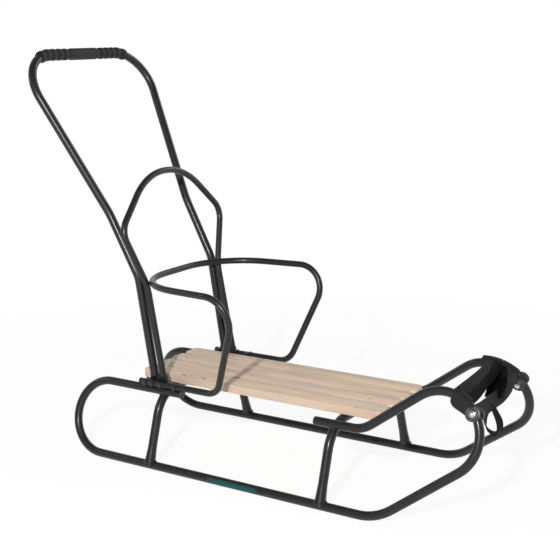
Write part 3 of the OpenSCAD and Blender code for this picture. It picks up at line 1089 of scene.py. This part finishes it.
@dataclass(frozen=True)
class Bolt:
    """A bolt with a domed head on a thin washer and a hex nut, in metres."""

    head_r: float = 0.006
    head_h: float = 0.0034
    dome_share: float = 0.86
    washer_share: float = 1.08
    washer_t: float = 0.0013
    sunk: float = 0.0002
    nut_r: float = 0.0055
    nut_h: float = 0.005
    stem_r: float = 0.003

    def head(self) -> bpy.types.Object:
        """Models the head on its washer.

        Returns:
            Both as one piece, facing Z.
        """
        dome = Bench.start(
            bpy.ops.mesh.primitive_uv_sphere_add, segments=28, ring_count=14, radius=self.head_r)
        bpy.ops.mesh.select_all(action="SELECT")
        bpy.ops.mesh.bisect(
            plane_co=(0, 0, 0), plane_no=(0, 0, 1), clear_inner=True, use_fill=True)
        bpy.ops.mesh.select_all(action="SELECT")
        wide, high = self.dome_share, self.head_h / self.head_r
        bpy.ops.transform.resize(value=(wide, wide, high))
        bpy.ops.transform.translate(value=(0, 0, self.washer_t - self.sunk))
        washer = Bench.start(
            bpy.ops.mesh.primitive_cylinder_add, vertices=32,
            radius=self.head_r * self.washer_share, depth=self.washer_t,
            location=(0, 0, self.washer_t / 2))
        Bench.pick(Pick.EDGE, lambda e: min(vert.co.z for vert in e.verts) > 0.001)
        Bench.bevel(0.0003, 2)
        return Bench.join([dome, washer])

    def nut(self) -> bpy.types.Object:
        """Models the nut with the bolt's end standing out.

        Returns:
            Both as one piece, facing Z.
        """
        body = Bench.start(
            bpy.ops.mesh.primitive_cylinder_add, vertices=6, radius=self.nut_r, depth=self.nut_h,
            location=(0, 0, self.nut_h / 2))
        Bench.pick(Pick.EDGE, lambda e: True)
        Bench.bevel(0.0004, 2)
        end = Bench.start(
            bpy.ops.mesh.primitive_cylinder_add, vertices=24, radius=self.stem_r, depth=0.0026,
            location=(0, 0, self.nut_h + 0.0003))
        Bench.pick(Pick.FACE, lambda f: f.normal.z > 0.9)
        Bench.insets((0.0006, 0.0005))
        return Bench.join([body, end])

    def several(self, heads: Iterable[Matrix], nuts: Iterable[Matrix]) -> bpy.types.Object:
        """Joins copies of the head and of the nut, each at its places."""
        return Bench.join(Bench.copies(self.head(), heads) + Bench.copies(self.nut(), nuts))


@dataclass
class RailBolts:
    """The bolts through the guard's lower rail."""

    finishes: Finishes
    rail_y: float = 140.26
    rail_z: float = 176.67
    rail_r: float = 7.0
    lug_inner: float = 130.06
    leg_x: tuple[float, float] = (121.5, 144.83)
    leg_inner: float = 127.06
    head_sunk: float = 0.3
    nut_sunk: float = 0.2

    def build(self) -> None:
        """Makes both sets of bolts."""
        outer = self.rail_y + self.rail_r - self.head_sunk
        for name, node, places, inner in (
            ("guard_bolt_set", "guard_bolts", LUG_X, self.lug_inner - self.nut_sunk),
            ("leg_bolt_set", "leg_bolts", self.leg_x, self.leg_inner - self.nut_sunk),
        ):
            spots = [(x, side) for side in SIDES for x in places]
            bolts = Bolt().several(
                [facing(ahead(x, s * outer, self.rail_z), (0, s, 0)) for x, s in spots],
                [facing(ahead(x, s * inner, self.rail_z), (0, -s, 0)) for x, s in spots])
            Bench.dress(bolts, name, self.finishes.black, "bolt_black", [node])


@dataclass
class NoseFittings:
    """The round washers and the bolts at the two noses."""

    finishes: Finishes
    nose_u: float = 786.04
    nose_v: float = 179.13
    loop_r: float = 80.0
    lean: float = math.radians(18.0)
    disc_angle: float = math.radians(36.0)
    disc_r: float = 14.0
    disc_t: float = 5.0
    facets: int = 60
    clear: float = 0.2
    bolt_sunk: float = 0.4

    def spot(self, angle: float, side: int, radius: float, out: float = 0.0) -> Vector:
        """A point of the nose's plane.

        Args:
            angle: round the nose from straight ahead, in radians.
            side: 1 on the left, -1 on the right.
            radius: distance from the nose's centre, in millimetres.
            out: distance outward from the plane.

        Returns:
            The point in metres.
        """
        u = self.nose_u + radius * math.cos(angle)
        v = self.nose_v + radius * math.sin(angle)
        y = RUNNER_Y - v * math.sin(self.lean) + out * math.cos(self.lean)
        z = TUBE_R + v * math.cos(self.lean) + out * math.sin(self.lean)
        return ahead(u, side * y, z)

    def washer(self) -> bpy.types.Object:
        """Models a ribbed round washer whose face has a recess.

        Returns:
            The washer, facing Z.
        """
        thick, rib = self.disc_t * MM, TAU / self.facets
        piece = Bench.start(
            bpy.ops.mesh.primitive_cylinder_add, vertices=self.facets, radius=self.disc_r * MM,
            depth=thick, location=(0, 0, thick / 2))
        Bench.pick(Pick.FACE, lambda f: abs(f.normal.z) < 0.1
                   and round(math.atan2(f.normal.y, f.normal.x) / rib - 0.5) % 2 == 0)
        bpy.ops.mesh.inset(thickness=0.00025, depth=-0.0006, use_individual=True)
        Bench.pick(Pick.FACE, lambda f: f.normal.z > 0.9 and f.calc_area() > 1e-5)
        Bench.insets((0.0016, 0.0006), (0.0007, -0.0009), (0.0028, 0.0), (0.0006, 0.0007))
        Bench.clear()
        return piece

    def on_face(self, side: int, way: int, out: float) -> Matrix:
        """A place on one face of a nose.

        Args:
            side: 1 on the left, -1 on the right.
            way: 1 on the outer face, -1 on the inner one.
            out: distance from the nose's plane, in millimetres.

        Returns:
            The matrix that turns a master's Z away from the face.
        """
        spot = self.spot(self.disc_angle, side, self.loop_r, way * out)
        across = Vector((0.0, side * math.cos(self.lean), math.sin(self.lean)))
        return facing(spot, across * way)

    def build(self) -> None:
        """Makes the washers and the bolts."""
        reach = TUBE_R + self.clear
        for name, way, finish in (
            ("nose_washers_outside", 1, self.finishes.washer),
            ("nose_washers_inside", -1, self.finishes.plug),
        ):
            places = [self.on_face(side, way, reach) for side in SIDES]
            Bench.dress(Bench.join(Bench.copies(self.washer(), places)), name, finish,
                        "washer_plastic", ["nose_washers"], angle=30.0)
        heads, nuts = (
            [self.on_face(side, way, reach + self.disc_t - self.bolt_sunk) for side in SIDES]
            for way in (1, -1))
        bolts = Bolt(head_r=0.0055, head_h=0.0036).several(heads, nuts)
        Bench.dress(bolts, "nose_bolt_set", self.finishes.zinc, "bolt_zinc", ["nose_bolts"])


@dataclass(frozen=True)
class Row:
    """One row of the webbing between the noses.

    x and z are in nose radii from the nose's centre; share is of the nose's own place to the
    left, to which left adds millimetres; ax, ay and az point across the webbing.
    """

    x: float
    share: float
    left: float
    z: float
    ax: float
    ay: float
    az: float
    wide: float


@dataclass
class TowStrap:
    """The webbing wound round both noses and slung between them."""

    finishes: Finishes
    nose: NoseFittings
    width: float = 34.0
    thick: float = 1.9
    steps: int = 10
    strands: int = 12
    turn_steps: int = 48
    clear: float = 0.5
    layer: float = 1.05
    crease_at: float = 0.1
    band: Table = (
        (0.57, -1, 27, 0.93, -0.86, 0, 0.5, 1.56),
        (0.53, -0.3, 0, 0.97, -0.91, 0, 0.4, 1.48),
        (0.39, 0.3, 0, 1.02, -0.95, 0, 0.3, 1.12),
        (0.21, 1, -29, 1.06, -0.99, 0, 0.12, 0.98))
    sling: Table = (
        (0.77, -1, 36.5, 0.56, -0.62, 0, 0.79, 0.8),
        (0.61, -0.27, 0, 0.38, -0.62, 0, 0.79, 0.8),
        (0.575, 0.05, 0, 0.35, -0.62, 0, 0.79, 0.8),
        (0.585, 0.42, 0, 0.355, -0.62, 0.1, 0.77, 0.78),
        (0.625, 0.6, 0, 0.45, -0.6, 0.55, 0.5, 0.7),
        (0.65, 1, -38.5, 0.62, -0.7, 0.3, 0.3, 0.75),
        (0.61, 1, -32.5, 0.75, -0.79, 0.35, 0.3, 0.9))
    fold: Table = (
        (0.33, 1, -37.5, 0.95, 1, 0, 0, 1),
        (0.37, 0.66, 0, 0.74, 1, 0, 0, 1),
        (0.42, 0.48, 0, 0.53, 1, 0, 0, 1),
        (0.45, 0.33, 0, 0.34, 1, 0, 0, 1))
    loop: Table = (
        (0.56, 0.13, 0, 0.3, -0.53, 0.83, -0.17, 0.88),
        (0.46, 0.06, 0, 0.02, -0.53, 0.83, -0.17, 0.88),
        (0.48, 0.03, 0, -0.2, -0.5, 0.85, -0.17, 0.88),
        (0.64, 0, 0, -0.33, -0.3, 0.94, -0.16, 0.88),
        (0.84, -0.015, 0, -0.32, -0.05, 0.99, -0.1, 0.88),
        (0.87, -0.03, 0, -0.06, 0, 1, -0.1, 0.88),
        (0.72, -0.045, 0, 0.28, -0.14, 0.98, -0.15, 0.88))

    def row(self, row: Row) -> tuple[Vector, Vector]:
        """Places a row of the webbing.

        Args:
            row: the row.

        Returns:
            Its middle, and the way from there to the webbing's edge, in metres.
        """
        r = self.nose.loop_r * MM
        centre = self.nose.spot(0.0, 1, 0.0)
        middle = Vector((
            centre.x + row.x * r, centre.y * row.share + row.left * MM, centre.z + row.z * r))
        way = Vector((row.ax, row.ay, row.az)).normalized()
        return middle, way * self.width * MM * row.wide / 2

    def curve(self, points: Sequence[Vector]) -> list[Vector]:
        """A smooth curve through points.

        Args:
            points: what it goes through.

        Returns:
            The curve's own points, with several steps between two given ones.
        """
        last = len(points) - 1
        made = []
        for i in range(last):
            a, b, c, d = (points[min(last, max(0, k))] for k in (i - 1, i, i + 1, i + 2))
            for k in range(self.steps):
                t = k / self.steps
                made.append(0.5 * (2 * b + (c - a) * t + (2 * a - 5 * b + 4 * c - d) * t * t
                                   + (3 * b - a - 3 * c + d) * t ** 3))
        return made + [points[last]]

    def strip(self, spots: Sequence[Sequence[Vector]]) -> bpy.types.Object:
        """Lays a woven strip through rows of points.

        Args:
            spots: the points across each row.

        Returns:
            The strip, with a map in metres across and along.
        """
        rows, columns = len(spots) - 1, len(spots[0]) - 1
        Bench.clear()
        bpy.ops.mesh.primitive_grid_add(
            x_subdivisions=columns, y_subdivisions=rows, size=2.0, calc_uvs=True)
        piece = bpy.context.object
        middle = columns // 2
        lengths = [0.0]
        for near, far in zip(spots, spots[1:]):
            lengths.append(lengths[-1] + (far[middle] - near[middle]).length)
        index = {}
        for vert in piece.data.vertices:
            column = round((vert.co.x + 1.0) / 2.0 * columns)
            row = round((vert.co.y + 1.0) / 2.0 * rows)
            index[vert.index] = column, row
            vert.co = spots[row][column]
        cloth = piece.data.uv_layers.active.data
        for corner in piece.data.loops:
            column, row = index[corner.vertex_index]
            cloth[corner.index].uv = column / columns * self.width * MM, lengths[row]
        Bench.apply(
            piece, "SOLIDIFY", thickness=self.thick * MM, offset=0.0, use_even_offset=True)
        Bench.apply(
            piece, "BEVEL", width=0.0004, segments=2, limit_method="ANGLE",
            angle_limit=math.radians(60.0))
        return piece

    def ribbon(
        self, table: Table, cup: float = 0.0, wave: float = 0.0, crease: float = 0.0,
        part: tuple[float, float] = (-1.0, 1.0),
    ) -> bpy.types.Object:
        """Hangs webbing along a table of rows.

        Args:
            table: the rows.
            cup: how far its edges bend out of the plane, in metres.
            wave: how far its middle buckles, in metres.
            crease: how far its front part turns down along a crease, in degrees.
            part: from where to where across the webbing, from -1 at the front to 1.

        Returns:
            The strip.
        """
        rows = [self.row(Row(*values)) for values in table]
        middles = self.curve([middle for middle, _ in rows])
        ways = self.curve([way for _, way in rows])
        last = len(middles) - 1
        low, high = part
        shares = [low + (high - low) * j / self.strands for j in range(self.strands + 1)]
        spots = []
        for k, (middle, way) in enumerate(zip(middles, ways)):
            onward = (middles[min(last, k + 1)] - middles[max(0, k - 1)]).normalized()
            side = way - onward * way.dot(onward)
            side = side.normalized() * way.length
            out = onward.cross(side.normalized())
            ease = math.sin(math.pi * k / last)
            turn = math.radians(crease) * min(1.0, 1.6 * math.cos(0.5 * math.pi * k / last))
            down = out * (1.0 if out.z < 0 else -1.0) * side.length
            row = []
            for c in shares:
                flat, bent = max(c, self.crease_at), min(c - self.crease_at, 0.0)
                lift = cup * (c * c - 0.4) + wave * math.sin(9.0 * k / last + 1.7 * c)
                row.append(
                    middle + side * (flat + bent * math.cos(turn))
                    - down * bent * math.sin(turn) + out * ease * lift)
            spots.append(row)
        return self.strip(spots)

    def winding(
        self, side: int, angle: float, turns: float, slack: float = 0.0, skew: float = 0.0,
        front: float = 0.0,
    ) -> bpy.types.Object:
        """Winds webbing round a nose.

        Args:
            side: 1 for the left nose, -1 for the right.
            angle: where round the nose, in degrees.
            turns: how often it goes round.
            slack: how far it hangs clear on the nose's inner side, in millimetres.
            skew: how far it wanders along the tube, in degrees.
            front: how much further it spreads forward on the tube's outer side, in degrees.

        Returns:
            The strip.
        """
        half = math.degrees(self.width / self.nose.loop_r) / 2
        count = round(self.turn_steps * turns)
        shares = [2.0 * j / self.strands - 1.0 for j in range(self.strands + 1)]
        spots = []
        for k in range(count + 1):
            share = k / count
            phase = TAU * turns * share + math.pi * 0.75
            reach = TUBE_R + self.clear + self.thick * (0.5 + self.layer * turns * share)
            hang = slack * (0.5 - 0.5 * math.tanh(2.2 * math.cos(phase)))
            spread = front * (0.5 + 0.5 * math.cos(phase - 2.4))
            row = []
            for c in shares:
                at = angle + half * c + spread * (min(0.0, c) - 0.25 * max(0.0, c))
                inward = reach * math.cos(phase) - hang * (1.0 - 0.55 * c * c)
                row.append(self.nose.spot(
                    math.radians(at + skew * (share - 0.5)), side,
                    self.nose.loop_r + inward, reach * math.sin(phase)))
            spots.append(row if side < 0 else row[::-1])
        return self.strip(spots)

    def build(self) -> None:
        """Winds and hangs the strap."""
        looks = self.finishes
        creased = (self.band, -0.0008, 0.0005, 62.0)
        # each part but the windings wears its own copy of the webbing, darker as painted shade or
        # lighter as painted light
        for name, piece, finish in (
            ("strap_winding_right", self.winding(-1, 65.5, 1.2, 9.0, front=11.0), looks.webbing),
            ("strap_winding_left", self.winding(1, 83.5, 2.2, skew=3.0), looks.webbing),
            ("strap_winding_front", self.winding(1, 58.6, 2.2), looks.webbing),
            ("strap_band", self.ribbon(*creased, (self.crease_at, 1.0)), looks.top_webbing_painted_shade),
            ("strap_band_front", self.ribbon(*creased, (-1.0, self.crease_at)),
             looks.webbing_painted_shade),
            ("strap_sling", self.ribbon(self.sling, 0.0015), looks.sling_webbing_painted_light),
            ("strap_fold", self.ribbon(self.fold, 0.0, 0.0012), looks.webbing_painted_shade),
            ("strap_loop", self.ribbon(self.loop), looks.webbing_painted_shade),
        ):
            Bench.dress(piece, name, finish, "webbing", ["tow_strap"], angle=50.0)


@dataclass
class Grip:
    """The rubber sleeve on the handle's top bar."""

    finishes: Finishes
    bar_x: float = -159.5
    bar_z: float = 870.0
    bar_half: float = 107.5
    bend_r: float = 84.0
    bend_turn: float = math.radians(24.0)
    leg_way: Point = (0.4668, 0.0, -0.8843)
    sleeve_r: float = 11.5
    rib_r: float = 13.0
    smooth_half: float = 42.0
    ease_len: float = 3.0
    end_len: float = 2.5
    end_drop: float = 0.9
    end_bite: float = 0.2
    stations: int = 300

    def radius(self, s: float, half: float) -> float:
        """The sleeve's radius along its length.

        Args:
            s: distance from the middle.
            half: half the sleeve's length.

        Returns:
            The radius in millimetres.
        """
        far = abs(s)
        if far < FIRST_RIB - RIB_PITCH / 2:
            ease = (self.smooth_half - far) / self.ease_len + 0.5
            ease = min(1.0, max(0.0, ease))
            crest = ease * ease * (3.0 - 2.0 * ease)
        else:
            wave = math.cos(TAU * (far - FIRST_RIB) / RIB_PITCH) + 0.25
            crest = 0.5 + 0.5 * math.tanh(2.2 * wave) / math.tanh(2.2)
        end = max(0.0, far - half + self.end_len) / self.end_len
        rise = (self.rib_r - self.sleeve_r) * min(1.0, crest)
        return self.sleeve_r + rise - self.end_drop * end * end

    def along(self, s: float) -> tuple[Vector, Vector]:
        """A point of the handle's centre line and the direction there.

        Args:
            s: distance to the left of the bar's middle.

        Returns:
            The point in source millimetres, and the direction.
        """
        side = 1.0 if s >= 0 else -1.0
        far = abs(s)
        if far <= self.bar_half:
            return Vector((self.bar_x, s, self.bar_z)), Vector((0.0, 1.0, 0.0))
        turn = (far - self.bar_half) / self.bend_r
        down = Vector(self.leg_way)
        start = Vector((self.bar_x, side * self.bar_half, self.bar_z))
        point = start + Vector((0.0, side, 0.0)) * self.bend_r * math.sin(turn)
        point += down * self.bend_r * (1.0 - math.cos(turn))
        return point, Vector((0.0, math.cos(turn), 0.0)) + down * side * math.sin(turn)

    def build(self) -> None:
        """Cuts a cylinder into rings, then shapes it and bends it along the handle."""
        half = self.bar_half + self.bend_r * self.bend_turn
        count = self.stations
        piece = Bench.start(
            bpy.ops.mesh.primitive_cylinder_add, vertices=40, radius=1.0, depth=2.0,
            end_fill_type="NOTHING")
        Bench.pick(Pick.EDGE, lambda e: abs(e.verts[0].co.z - e.verts[1].co.z) > 1.0)
        bpy.ops.mesh.subdivide(number_cuts=count - 1)
        Bench.clear()
        for vert in piece.data.vertices:
            index = min(count, max(0, round((vert.co.z + 1.0) / 2.0 * count)))
            s = -half + 2 * half * index / count
            point, way = self.along(s)
            side = way.cross(Vector((1.0, 0.0, 0.0))).normalized()
            other = way.cross(side).normalized()
            flat = Vector((vert.co.x, vert.co.y)).normalized()
            spot = point + (side * flat.x + other * flat.y) * self.radius(s, half)
            vert.co = ahead(*spot)
        Bench.edit()
        Bench.pick(Pick.EDGE, lambda e: e.is_boundary)
        bpy.ops.mesh.extrude_edges_move()
        Bench.clear()
        # the open ends turn in to the tube
        mesh = bmesh.new()
        mesh.from_mesh(piece.data)
        for vert in mesh.verts:
            if vert.is_boundary:
                point, _ = self.along(math.copysign(half, vert.co.y))
                middle = ahead(*point)
                vert.co = middle + (vert.co - middle).normalized() * (TUBE_R - self.end_bite) * MM
        bmesh.ops.recalc_face_normals(mesh, faces=mesh.faces)
        mesh.to_mesh(piece.data)
        mesh.free()
        Bench.dress(
            piece, "ribbed_grip", self.finishes.rubber, "grip_rubber", ["handle_grip"], angle=60.0)


@dataclass
class Paintwork:
    """The solids that keep their shape and get a finish."""

    finishes: Finishes
    painted: tuple[str, ...] = (
        "side_frame_left", "rear_arch", "front_arch", "guard_hoop", "guard_lugs",
        "backrest_arch", "push_handle")

    def build(self) -> None:
        """Paints them."""
        for node in self.painted:
            Bench.repaint(node, self.finishes.paint)
        Bench.repaint("side_frame_right", self.finishes.runner_paint)
        Bench.repaint("end_plugs", self.finishes.plug)


# Studio


@dataclass
class Studio:
    """The camera, the floor and the light."""

    eye: tuple[float, float, float] = (1.2435, -1.9293, 0.9049)
    aim: tuple[float, float, float] = (0.0082, 0.0, 0.4017)
    azimuth: float = math.radians(32.6)
    roll: float = math.radians(-0.9)
    focal_px: float = 1115.0
    frame_px: float = 560.0
    sensor: float = 36.0

    def camera(self) -> None:
        """Sets the camera at the photograph's viewpoint."""
        data = bpy.data.cameras.new("camera")
        data.sensor_width = self.sensor
        data.lens = self.sensor * self.focal_px / self.frame_px
        data.clip_start, data.clip_end = 0.05, 60.0
        forward = (Vector(self.aim) - Vector(self.eye)).normalized()
        level = Vector((math.cos(self.azimuth), math.sin(self.azimuth), 0.0))
        over = level.cross(forward)
        right = level * math.cos(self.roll) + over * math.sin(self.roll)
        up = over * math.cos(self.roll) - level * math.sin(self.roll)
        turn = Matrix((right, up, -forward)).transposed().to_4x4()
        turn.translation = Vector(self.eye)
        camera = bpy.data.objects.new("camera", data)
        bpy.context.scene.collection.objects.link(camera)
        camera.matrix_world = turn
        bpy.context.scene.camera = camera

    @staticmethod
    def world(fill: float, dark: float) -> None:
        """Makes the surroundings white to the eye and soft as light.

        Args:
            fill: how bright they are as light.
            dark: how bright they look in a mirror away from the backdrop.
        """
        g = Graph("studio", world=True)
        bpy.context.scene.world = g.owner
        _, y, z = g.place("Generated")
        # a mirror sees the white backdrop, and the dark studio overhead and behind the camera
        mirrored = y.step(-0.3, 0.25) * (1.0 - z.step(0.4, 0.75)) * (1.0 - dark) + dark
        light = (mirrored - fill) * g.rays("Glossy", "Transmission") + fill
        strength = (1.0 - light) * g.rays("Camera") + light
        back = g.node("ShaderNodeBackground", inputs={"Color": WHITE, "Strength": strength})
        g.node("ShaderNodeOutputWorld", inputs={"Surface": back.outputs[0]})

    @staticmethod
    def floor() -> None:
        """Lays a pale floor that fades to white away from the sled."""
        piece = Bench.start(
            bpy.ops.mesh.primitive_circle_add, vertices=96, radius=9.0, fill_type="NGON",
            location=(0, 0, -0.0002))
        Bench.clear()
        piece.name = "studio_floor"
        g = Graph("studio_floor")
        x, y, _ = g.place()
        far = ((x * x + y * y) ** 0.5).step(0.75, 1.9)
        share = g.rays("Camera", "Glossy", "Transmission") * (far * 0.1 + 0.9)
        pale = g.node("ShaderNodeBsdfDiffuse", inputs={"Color": (0.93, 0.93, 0.93, 1.0)})
        white = g.node("ShaderNodeEmission", inputs={"Color": WHITE, "Strength": 1.0})
        mixed = g.node(
            "ShaderNodeMixShader", inputs={0: share, 1: pale.outputs[0], 2: white.outputs[0]})
        g.node("ShaderNodeOutputMaterial", inputs={"Surface": mixed.outputs[0]})
        piece.data.materials.append(g.owner)

    @staticmethod
    def lamp(name: str, place: Point, aim: Point, size: float, watts: float) -> None:
        """Hangs a soft square lamp.

        Args:
            name: its name.
            place: where it hangs.
            aim: what it points at.
            size: its side, in metres.
            watts: its power.
        """
        data = bpy.data.lights.new(name, "AREA")
        data.shape = "SQUARE"
        data.size = size
        data.energy = watts
        lamp = bpy.data.objects.new(name, data)
        bpy.context.scene.collection.objects.link(lamp)
        lamp.location = place
        lamp.rotation_mode = "QUATERNION"
        lamp.rotation_quaternion = (Vector(aim) - Vector(place)).to_track_quat("-Z", "Y")

    def build(self) -> None:
        """Sets up the studio."""
        bpy.context.scene.view_settings.view_transform = "Standard"
        self.camera()
        self.world(fill=0.45, dark=0.25)
        self.floor()
        middle = (0.0, 0.0, 0.4)
        for name, place, aim, size, watts in (
            ("key_lamp", (0.85, -2.43, 1.47), (-0.08, 0.0, 0.19), 0.12, 80.0),
            ("side_lamp", (-2.2, -1.4, 1.5), middle, 0.5, 6.0),
            ("back_lamp", (0.6, 2.2, 1.9), middle, 0.6, 6.0),
        ):
            self.lamp(name, place, aim, size, watts)


def main() -> None:
    """Sets up the studio, then builds the sled's pieces in order."""
    logging.basicConfig(level=logging.INFO, format="%(name)s %(message)s")
    Studio().build()
    finishes = Finishes()
    nose = NoseFittings(finishes)
    for part in (
        Paintwork(finishes), Beads(finishes), Seat(finishes), RailBolts(finishes),
        nose, TowStrap(finishes, nose), Grip(finishes),
    ):
        part.build()


if __name__ == "__main__":
    main()
